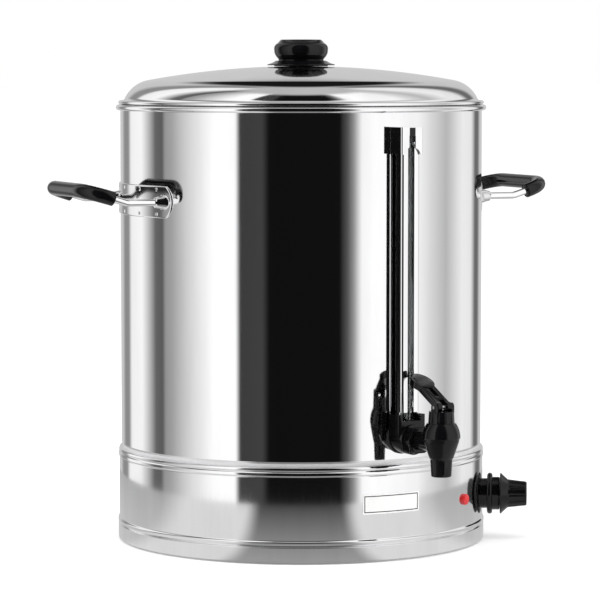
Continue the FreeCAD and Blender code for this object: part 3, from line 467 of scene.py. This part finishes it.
# Tank
def make_tank():
    """The tank with its rolled rim bead, its floor and the neck that hangs into the base."""
    over = TANK_INNER_R + RIM_BEAD_R - TANK_R
    under = degrees(atan2(-sqrt(RIM_BEAD_R ** 2 - over ** 2), -over)) % 360 - 360
    bead = arc((TANK_INNER_R + RIM_BEAD_R, RIM_TOP - RIM_BEAD_R), RIM_BEAD_R, 180, under, 22)
    corner = arc((TANK_INNER_R - 8, FLOOR_Z + 9.2), 8, -90, 0, 8)
    neck_r, neck_inner_r, neck_foot = 173.5, 172.3, 78
    outside = [(TANK_R, FLOOR_Z + 2.7), (neck_r, FLOOR_Z), (neck_r, neck_foot)]
    outside += [(neck_inner_r, neck_foot), (neck_inner_r, FLOOR_Z), (0, FLOOR_Z)]
    profile = [(0, FLOOR_Z + 1.2)] + corner + bead + outside
    piece("tank_body", spun(profile, TURNS), TANK_STEEL, stands_for=["tank"])


def make_base():
    """The base ring: skirt, bead near the foot, rib and hem at the seam, and its inner walls."""
    bead_z = BASE_BOTTOM + 13.6
    bead_top = bead_z + 6.2
    hem_z = BASE_TOP - 4.0
    rib_z = hem_z - 5.0
    inner = BAND_R - SHEET
    lip = 173.55
    profile = [
        (SKIRT_R - SHEET, BASE_BOTTOM), (SKIRT_R, BASE_BOTTOM, 0.8), (SKIRT_R, bead_z, 0.5),
        (BAND_R - 0.4, bead_z + 1.0, 0.4), (BAND_R + 1.2, bead_z + 2.2, 1.2),
        (BAND_R + 1.2, bead_top - 1.2, 1.2),
        (BAND_R, bead_top, 0.8), (BAND_R, rib_z - 0.5, 0.4), (BAND_R - 0.4, rib_z, 0.3),
        (BAND_R + 0.8, rib_z + 1.2, 0.9), (BAND_R + 0.8, hem_z - 1.2, 0.9), (BAND_R - 0.4, hem_z, 0.4),
        (BAND_R + 0.6, hem_z + 1.4, 1.4),
        (BAND_R - 0.2, BASE_TOP, 1.6), (lip, BASE_TOP), (lip, BASE_TOP - 10), (lip + SHEET, BASE_TOP - 10),
        (lip + SHEET, BASE_TOP - 1.2), (inner, BASE_TOP - 1.2), (inner, PLATE_TOP + SHEET),
        (inner - 12, PLATE_TOP + SHEET), (inner - 12, PLATE_TOP), (SKIRT_R - SHEET, PLATE_TOP),
    ]
    shape = spun(rounded(profile, 5), TURNS, closed=True)
    piece("base_ring", shape, BASE_STEEL, stands_for=["base_shell"])


# Lid
def lid_curve(offset):
    """The dome from its centre to the shoulder's end, at a depth below the outer face."""
    slope = asin(SHOULDER_START_R / CROWN_R)
    crown = []
    for i in range(33):
        angle = slope * i / 32
        reach = CROWN_R - offset
        crown.append((reach * sin(angle), CROWN_TOP - CROWN_R + reach * cos(angle)))
    centre_r = SHOULDER_START_R - SHOULDER_R * sin(slope)
    centre_z = CROWN_TOP - CROWN_R * (1 - cos(slope)) - SHOULDER_R * cos(slope)
    shoulder = arc((centre_r, centre_z), SHOULDER_R - offset, 90 - degrees(slope), 24, 28)
    return crown + shoulder[1:]


def make_lid():
    roll = arc((175.0, LID_SEAT + 1.9), 1.9, 140, -90, 14)
    lip_r, lip_inner_r, lip_foot = 172.2, 171.2, LID_SEAT - 8.3
    lip = [(lip_r, LID_SEAT, 0.6), (lip_r, lip_foot), (lip_inner_r, lip_foot), (lip_inner_r, LID_SEAT + 1.0)]
    inner = list(reversed(lid_curve(1.0)))
    profile = lid_curve(0.0) + roll + rounded([roll[-1]] + lip)[1:] + inner
    shape = spun(profile, TURNS)
    piece("lid_dome", shape, LID_STEEL, "lid", stands_for=["lid_shell"], sharp=35)


def make_lid_knob():
    foot = CROWN_TOP + 0.8
    top = foot + 25.0
    belly = top - 10.2
    profile = [(0, foot), (32.5, foot, 0.3), (33.0, foot + 0.8, 0.5)]
    profile += [(30.2, foot + 1.6), (27.6, foot + 2.6), (25.4, foot + 3.9), (24.0, foot + 4.6, 0.4)]
    profile += [(21.8, foot + 4.6, 0.3), (21.8, foot + 5.6, 0.6)]
    profile = rounded(profile)
    profile += [(22.9, foot + 7.0), (24.2, foot + 8.6), (25.2, foot + 10.4), (25.9, foot + 12.4)]
    profile += arc((20.4, belly + 1.2), 5.8, -12, 66, 12)
    profile += arc((0, top - 700.0), 700.0, 90 - 1.6, 90, 6)
    piece("knob", spun(profile, 128), GLOSSY_BLACK, "lid", stands_for=["lid_knob"], sharp=40)


# Carrying handles
HANDLE_HEIGHT = 332.0
ARM_HALF = 58.0
ROD_R = 3.3
BEND_REACH = 202.0
GRIP_REACH = 240.0
RISE = radians(16.5)
HANDLE_FOOT = sqrt(TANK_R ** 2 - ARM_HALF ** 2) + 3.5


def handle_line():
    tip = (GRIP_REACH - BEND_REACH) * tan(RISE)
    side = [(ARM_HALF, 0, HANDLE_FOOT), (ARM_HALF, 0, BEND_REACH), (ARM_HALF, tip, GRIP_REACH)]
    return [(-x, y, z) for x, y, z in side] + list(reversed(side))


def handle_plate_shape():
    """The pressed plate: curved to the tank, with two raised cones and eight spot welds."""
    across, up = 220, 44
    half_length, half_height = 69.0, 15.0
    end_r = (half_height ** 2 + 8.0 ** 2) / 16.0
    skin = TANK_R + 1.5
    cone_r, cone_top_r, cone_run, cone_rise = 8.5, 4.9, 3.9, 18
    weld_r, weld_depth = 2.4, 0.45
    spots = [(sx * x, sy * 11.5) for sx in (-1, 1) for x in (19.7, 48.2) for sy in (-1, 1)]
    verts = []
    for j in range(up + 1):
        v = -half_height + 2 * half_height * j / up
        length = half_length - end_r + sqrt(end_r ** 2 - v * v)
        for i in range(across + 1):
            u = (2.0 * i / across - 1.0) * length
            edge = min(length - abs(u), half_height - abs(v))
            z = sqrt(skin ** 2 - u * u) - 0.6 * max(0.0, 1 - edge / 0.8) ** 2
            away = hypot(abs(u) - ARM_HALF, v)
            cone = HANDLE_FOOT - 10 + cone_rise * (cone_r - max(away, cone_top_r)) / cone_run
            soft = max(0.0, 1 - abs(cone - z) / 1.6)
            z = max(z, cone) + 0.4 * soft ** 2
            for x0, y0 in spots:
                near = hypot(u - x0, v - y0)
                if near < weld_r:
                    z -= weld_depth * (1 - (near / weld_r) ** 2) ** 2
            verts.append((u, v, z))
    faces = []
    for j in range(up):
        for i in range(across):
            a = j * (across + 1) + i
            faces.append((a, a + 1, a + across + 2, a + across + 1))
    rim = list(range(across + 1))
    rim += [j * (across + 1) + across for j in range(1, up + 1)]
    rim += [up * (across + 1) + i for i in range(across - 1, -1, -1)]
    rim += [j * (across + 1) for j in range(up - 1, 0, -1)]
    start = len(verts)
    for index in rim:
        u, v, z = verts[index]
        verts.append((u, v, sqrt(TANK_R ** 2 - u * u)))
    for k, index in enumerate(rim):
        n = (k + 1) % len(rim)
        faces.append((index, start + k, start + n, rim[n]))
    return verts, faces


def grip_radius(share):
    """The grip is even, with a small round at each end."""
    end = min(share, 1 - share) * 150.0
    return 6.8 if end > 2.0 else 5.4 + 1.4 * sqrt(max(0.0, 1 - (1 - end / 2.0) ** 2))


def make_handles():
    line = handle_line()
    rod = bent(line, [14.0, 25.0, 25.0, 14.0])
    slope = (Vector(line[2]) - Vector(line[1])).normalized()
    start = Vector(line[1]) + slope * 14.0
    end = Vector((-start.x, start.y, start.z))
    grip = bent([start, line[2], line[3], end], [25.0, 25.0])
    # The grip's line in steps of about 3 mm, closer together at its ends
    full = []
    for a, b in zip(grip, grip[1:]):
        count = max(1, int((b - a).length / 3.0))
        full.extend(a + (b - a) * i / count for i in range(count))
    full.append(grip[-1])
    ends = [full[0] + (full[1] - full[0]).normalized() * step for step in (0.25, 0.7, 1.4)]
    tails = [full[-1] + (full[-2] - full[-1]).normalized() * step for step in (1.4, 0.7, 0.25)]
    full = [full[0]] + ends + full[1:-1] + tails + [full[-1]]
    for side, azimuth in (("right", 82.0), ("left", -98.0)):
        place = outward(azimuth, HANDLE_HEIGHT)
        for part, shape, finish, slot, sharp in (
            ("plate", handle_plate_shape(), PLATE_STEEL, "mirror_steel", 50),
            ("rod", swept(rod, ROD_R), CHROME, "chromed", 30),
            ("grip", swept(full, grip_radius, 32), GLOSSY_BLACK, "black_plastic", 50),
        ):
            solid = side + "_handle_" + part
            piece(side + "_" + part, shape, finish, place=place, stands_for=[solid], sharp=sharp)


# Pieces that keep their solid's form and get softened edges: the solid, the piece, its finish and slot,
# the width of the rounding and the angle from which an edge gets it
SOFTENED = (
    ("gauge_guard", "guard", CHROME, "chromed", 0.25, 25),
    ("gauge_top_bracket", "bracket", CHROME, "chromed", 0.5, 25),
    ("gauge_glass", "sight_glass", GLASS, "clear_glass", 0.0, 30),
    ("gauge_block", "block", GLOSSY_BLACK, "black_plastic", 0.6, 25),
    ("tap_body", "tap", GLOSSY_BLACK, "black_plastic", 0.3, 22),
    ("tap_bonnet", "bonnet", GLOSSY_BLACK, "black_plastic", 0.25, 25),
    ("tap_union_nut", "union_nut", GLOSSY_BLACK, "black_plastic", 0.5, 22),
    ("tap_lever", "lever", GLOSSY_BLACK, "black_plastic", 0.9, 25),
    ("control_collar", "collar", GLOSSY_BLACK, "black_plastic", 0.5, 25),
    ("gland_nut", "cord_nut", BLACK, "black_plastic", 0.3, 30),
    ("cable_gland", "cord_gland", BLACK, "black_plastic", 0.4, 25),
)


def make_softened():
    bodies = {node: body for body, nodes in frame["record"]["behaviour"]["bodies"].items() for node in nodes}
    for node, name, finish, slot, width, sharp in SOFTENED:
        mesh = frame["nodes"][node].data.copy()
        mesh.name = name
        made = linked(name, mesh)
        work = bmesh.new()
        work.from_mesh(mesh)
        bmesh.ops.remove_doubles(work, verts=work.verts, dist=2e-6)
        bmesh.ops.dissolve_limit(work, angle_limit=radians(0.6), verts=work.verts, edges=work.edges)
        work.to_mesh(mesh)
        work.free()
        if width > 0:
            soften(made, width, sharp)
        settle(made, finish, bodies[node], [node], 40)


# Dial, with its flutes and pointer
CONTROL_AZIMUTH = 53.0
CONTROL_Z = 44.0
DIAL_FOOT = BAND_R + 17.1


def make_dial():
    z0 = DIAL_FOOT
    z1 = z0 + 7.0
    z2 = z1 + 19.0
    profile = [(0, z0 + 2.0), (13.0, z0 + 2.0), (14.0, z0), (19.6, z0, 0.3), (20.0, z0 + 0.9, 0.4)]
    profile += [(17.4, z0 + 3.4, 2.0), (14.2, z1, 0.8), (13.6, z1 + 0.8, 0.4)]
    profile = rounded(profile, 5)
    profile += [(13.6 - 1.9 * i / 12, z1 + 0.8 + 17.0 * i / 12) for i in range(1, 13)]
    profile += arc((10.1, z2 - 1.6), 1.6, 10, 90, 6)
    profile += [(8.5, z2 - 0.05), (7.9, z2 - 0.5), (4.0, z2 - 0.5), (0, z2 - 0.5)]

    def fluted(angle, r, z):
        """Twelve grooves that fade in above the cone."""
        if z <= z1 + 0.5 or r < 9.5:
            return r, z
        depth = min(1.0, (z - z1 - 0.5) / 1.5)
        phase = (angle * 12 / (2 * pi) + 0.5) % 1.0 - 0.5
        groove = max(0.0, 1 - (phase / 0.17) ** 2)
        return r - 0.75 * depth * sqrt(groove), z

    finish = moulded("dial_black", (0.003, 0.003, 0.0035), 0.14, 0.00001, shine=0.3)
    place = outward(CONTROL_AZIMUTH, CONTROL_Z)
    piece("dial", spun(profile, 288, fluted), finish, "control", place, ["control_knob"], 32)
    mark = block(-0.5, 0.5, 14.6, 18.6, -0.05, 0.15)
    lift = Matrix.Translation((0, 0, z0 + 3.25))
    tilted = [(x, y, z - (y - 16.6) * 1.05) for x, y, z in mark[0]]
    white = moulded("pointer_white", (0.75, 0.75, 0.73), 0.4, 0.00001)
    piece("dial_pointer", (tilted, mark[1]), white, "control", place @ lift)


def make_lamp():
    z0 = BAND_R - 0.6
    profile = [(0, z0), (5.4, z0), (5.4, z0 + 1.8)] + arc((2.6, z0 + 1.8), 2.8, 0, 66, 8)
    profile += [(2.0, z0 + 4.75), (0, z0 + 4.9)]
    place = outward(29.0, 48.0)
    piece("lamp", spun(profile, 64), LENS, place=place, stands_for=["pilot_lamp_lens"], sharp=50)


def make_gauge_details():
    """The dark insert above the bracket's window."""
    front = -(TANK_R + 18.0)
    insert = block(-3.2, 3.2, front - 0.12, front + 1.0, 394.6, 402.6)
    piece("bracket_insert", insert, GLOSSY_BLACK, bevel=0.1)


# Plate left bare where the photograph has words
PLATE_Z = 54.6


def make_blank_plate():
    radius, thick = BAND_R + 0.5, 0.5
    half, half_height = 30.0, 9.2
    verts = []
    faces = []
    count = 24
    for r in (radius, radius - thick):
        for i in range(count + 1):
            angle = (2 * i / count - 1) * half / radius
            for z in (-half_height, half_height):
                verts.append((r * sin(angle), -r * cos(angle), z))
    row = 2 * (count + 1)
    for i in range(count):
        a = 2 * i
        faces.append((a, a + 2, a + 3, a + 1))
        faces.append((row + a, row + a + 1, row + a + 3, row + a + 2))
        faces.append((a, row + a, row + a + 2, a + 2))
        faces.append((a + 1, a + 3, row + a + 3, row + a + 1))
    faces.append((0, 1, row + 1, row))
    last = 2 * count
    faces.append((last, row + last, row + last + 1, last + 1))
    finish = Finish("plate_print", Metallic=0.0, Coat_Weight=0.5, Coat_Roughness=0.12)
    x, y, z = finish.axes()
    azimuth = radians(-3.5)
    along = (x * cos(azimuth) + y * sin(azimuth)).math("ABSOLUTE") * (1 / MM)
    upright = (z * (1 / MM) - PLATE_Z).math("ABSOLUTE")
    outer = (along - 28.2).most(upright - 7.4)
    line = (outer.math("ABSOLUTE") - 0.42).ramp(0.0, 0.12, 1.0, 0.0)
    speck = finish.noise(700.0, 3.0, 0.6).ramp(0.4, 0.7)
    white = speck.between((0.80, 0.80, 0.79), (0.74, 0.74, 0.73))
    finish.set(Base_Color=line.between(white, (0.03, 0.03, 0.03)), Roughness=speck * 0.05 + 0.3)
    finish.bump(speck, 0.00001)
    place = Matrix.Translation((0, 0, PLATE_Z)) @ Matrix.Rotation(azimuth, 4, "Z")
    piece("blank_plate", (verts, faces), finish, place=place)


# Surroundings
DOME_R = 7.0
NEAR_R = 0.56
# Brightness around the dome, by the angle from the camera's side, to the right as it looks
PANELS = (
    (-180, 0.62), (-158, 0.62), (-150, 0.28), (-141, 0.30), (-136, 1.0), (-120, 1.08), (-112, 0.62),
    (-104, 0.15), (-97, 0.12), (-94, 0.36), (-88, 0.42), (-80, 0.62), (-64, 1.0), (-56, 1.2), (-41, 1.2),
    (-38.5, 0.05), (-24, 0.06), (-20, 0.006), (24, 0.006), (29, 0.10), (33, 0.35), (38, 1.1), (46, 1.2),
    (78, 1.05), (88, 0.8), (103, 0.54), (122, 0.98), (136, 0.9), (144, 0.16), (151, 0.16), (158, 0.62),
    (180, 0.62),
)


def camera_axes(finish):
    """Metres to the camera's right, towards the camera, level from the middle, and up."""
    x, y, z = finish.axes()
    right = x * cos(CAMERA_AZIMUTH) + y * sin(CAMERA_AZIMUTH)
    towards = x * sin(CAMERA_AZIMUTH) - y * cos(CAMERA_AZIMUTH)
    return right, towards, (right * right + towards * towards) ** 0.5, z


def only_light(name):
    """A finish that reflects nothing, for surfaces that are only seen in the polish."""
    return Finish(name, Base_Color=(0.0, 0.0, 0.0), Roughness=1.0, Specular_IOR_Level=0.0)


def staged(name, mesh, finish, unseen_by):
    """Puts a surface of the surroundings in the scene, unseen by some kinds of ray."""
    made = linked(name, mesh)
    mesh.materials.append(finish.material)
    for ray in unseen_by:
        setattr(made, "visible_" + ray, False)


def make_panels():
    """A dome of soft panels that only the polished surfaces see."""
    finish = only_light("panel_light")
    right, towards, level, z = camera_axes(finish)
    turn = right.math("ARCTAN2", towards) / pi * 0.5 + 0.5
    height = z.math("ARCTAN2", level) * (180 / pi)
    panels = finish.tree.nodes.new("ShaderNodeValToRGB")
    ramp = panels.color_ramp
    ramp.interpolation = "LINEAR"
    while len(ramp.elements) < len(PANELS):
        ramp.elements.new(0.5)
    for element, (angle, light) in zip(ramp.elements, PANELS):
        element.position = (angle + 180.0) / 360.0
        element.color = (light, light, light, 1.0)
    feed(finish.tree, panels.inputs[0], turn)
    walls = Calc(finish.tree, panels.outputs[0])
    over = height.ramp(66.0, 76.0).between(walls, (0.55, 0.55, 0.55))
    # A dark spot above and behind, which the lid's dome shows
    tilt = z.math("ARCTAN2", towards * -1.0) * (180 / pi)
    side = (right / DOME_R).math("ARCSINE") * (180 / pi)
    spot = ((tilt - 50.0) / 27.0) ** 2.0 + (side / 15.0) ** 2.0
    light = spot.ramp(0.45, 1.15, 1.0, 0.0).between(over, (0.01, 0.01, 0.01))
    finish.set(Emission_Color=light, Emission_Strength=1.0)
    mesh = bpy.data.meshes.new("panels")
    work = bmesh.new()
    bmesh.ops.create_uvsphere(work, u_segments=96, v_segments=48, radius=DOME_R)
    bmesh.ops.reverse_faces(work, faces=work.faces)
    work.to_mesh(mesh)
    work.free()
    staged("panels", mesh, finish, ("camera", "diffuse", "shadow", "volume_scatter"))


def make_near_ground():
    """What the polished skirt sees of the ground close to it."""
    finish = only_light("near_ground_light")
    right, towards, level, z = camera_axes(finish)
    turn = right.math("ARCTAN2", towards).math("ABSOLUTE") * (180 / pi)
    grey = level.ramp(NEAR_R, 0.20, 0.07, 0.36, smooth=False)
    grey = grey.node("ShaderNodeCombineColor", grey, grey, grey)
    beside = turn.ramp(20.0, 30.0) * turn.ramp(62.0, 84.0, 1.0, 0.55)
    finish.set(Emission_Color=beside.between(grey, (0.8, 0.8, 0.8)), Emission_Strength=1.0)
    mesh = bpy.data.meshes.new("near_ground")
    rim = [(NEAR_R * sin(2 * pi * i / 96), -NEAR_R * cos(2 * pi * i / 96), -0.0005) for i in range(96)]
    mesh.from_pydata(rim, [], [tuple(range(96))])
    staged("near_ground", mesh, finish, ("camera", "diffuse", "shadow", "transmission"))


def make_ground():
    finish = Finish("ground_pale", Specular_IOR_Level=0.2, Emission_Color=(1.0, 1.0, 1.0),
                    Emission_Strength=0.14)
    mottle = finish.noise(4.0, 3.0, 0.5)
    pale = mottle.between((0.93, 0.93, 0.93), (0.92, 0.92, 0.92))
    finish.set(Base_Color=pale, Roughness=mottle * 0.05 + 0.6)
    mesh = bpy.data.meshes.new("ground")
    mesh.from_pydata([(-40, -40, 0), (40, -40, 0), (40, 40, 0), (-40, 40, 0)], [], [(0, 1, 2, 3)])
    staged("ground", mesh, finish, ("glossy",))


def make_light():
    world = bpy.data.worlds.new("surround")
    bpy.context.scene.world = world
    world.use_nodes = True
    shade = world.node_tree.nodes["Background"]
    shade.inputs["Color"].default_value = (1.0, 1.0, 1.0, 1.0)
    shade.inputs["Strength"].default_value = 1.0
    for name, azimuth, height, distance, size, power in (
        ("key", -60.0, 1.9, 2.4, 1.4, 26.0),
        ("fill", 62.0, 1.4, 2.4, 1.4, 18.0),
        ("top", 10.0, 3.0, 0.6, 1.6, 22.0),
    ):
        lamp = bpy.data.lights.new(name, "AREA")
        lamp.shape = "DISK"
        lamp.size = size
        lamp.energy = power
        holder = linked(name, lamp)
        angle = CAMERA_AZIMUTH + radians(azimuth)
        holder.location = (sin(angle) * distance, -cos(angle) * distance, height)
        aim = Vector((0, 0, 0.2)) - holder.location
        holder.rotation_mode = "QUATERNION"
        holder.rotation_quaternion = aim.to_track_quat("-Z", "Y")
        holder.visible_glossy = False
        holder.visible_camera = False


def make_camera():
    data = bpy.data.cameras.new("view")
    data.sensor_width = 36.0
    data.lens = 183.7
    holder = linked("view", data)
    distance, height = 2.973, 0.466
    pitch, yaw = radians(4.515), radians(0.02)
    holder.location = (sin(CAMERA_AZIMUTH) * distance, -cos(CAMERA_AZIMUTH) * distance, height)
    holder.rotation_euler = (pi / 2 - pitch, 0.0, CAMERA_AZIMUTH + yaw)
    data.clip_start, data.clip_end = 0.1, 100.0
    bpy.context.scene.camera = holder


bpy.context.scene.view_settings.view_transform = "Standard"
dress_solids()
make_tank()
make_base()
make_lid()
make_lid_knob()
make_handles()
make_softened()
make_dial()
make_lamp()
make_gauge_details()
make_blank_plate()
make_panels()
make_near_ground()
make_ground()
make_light()
make_camera()
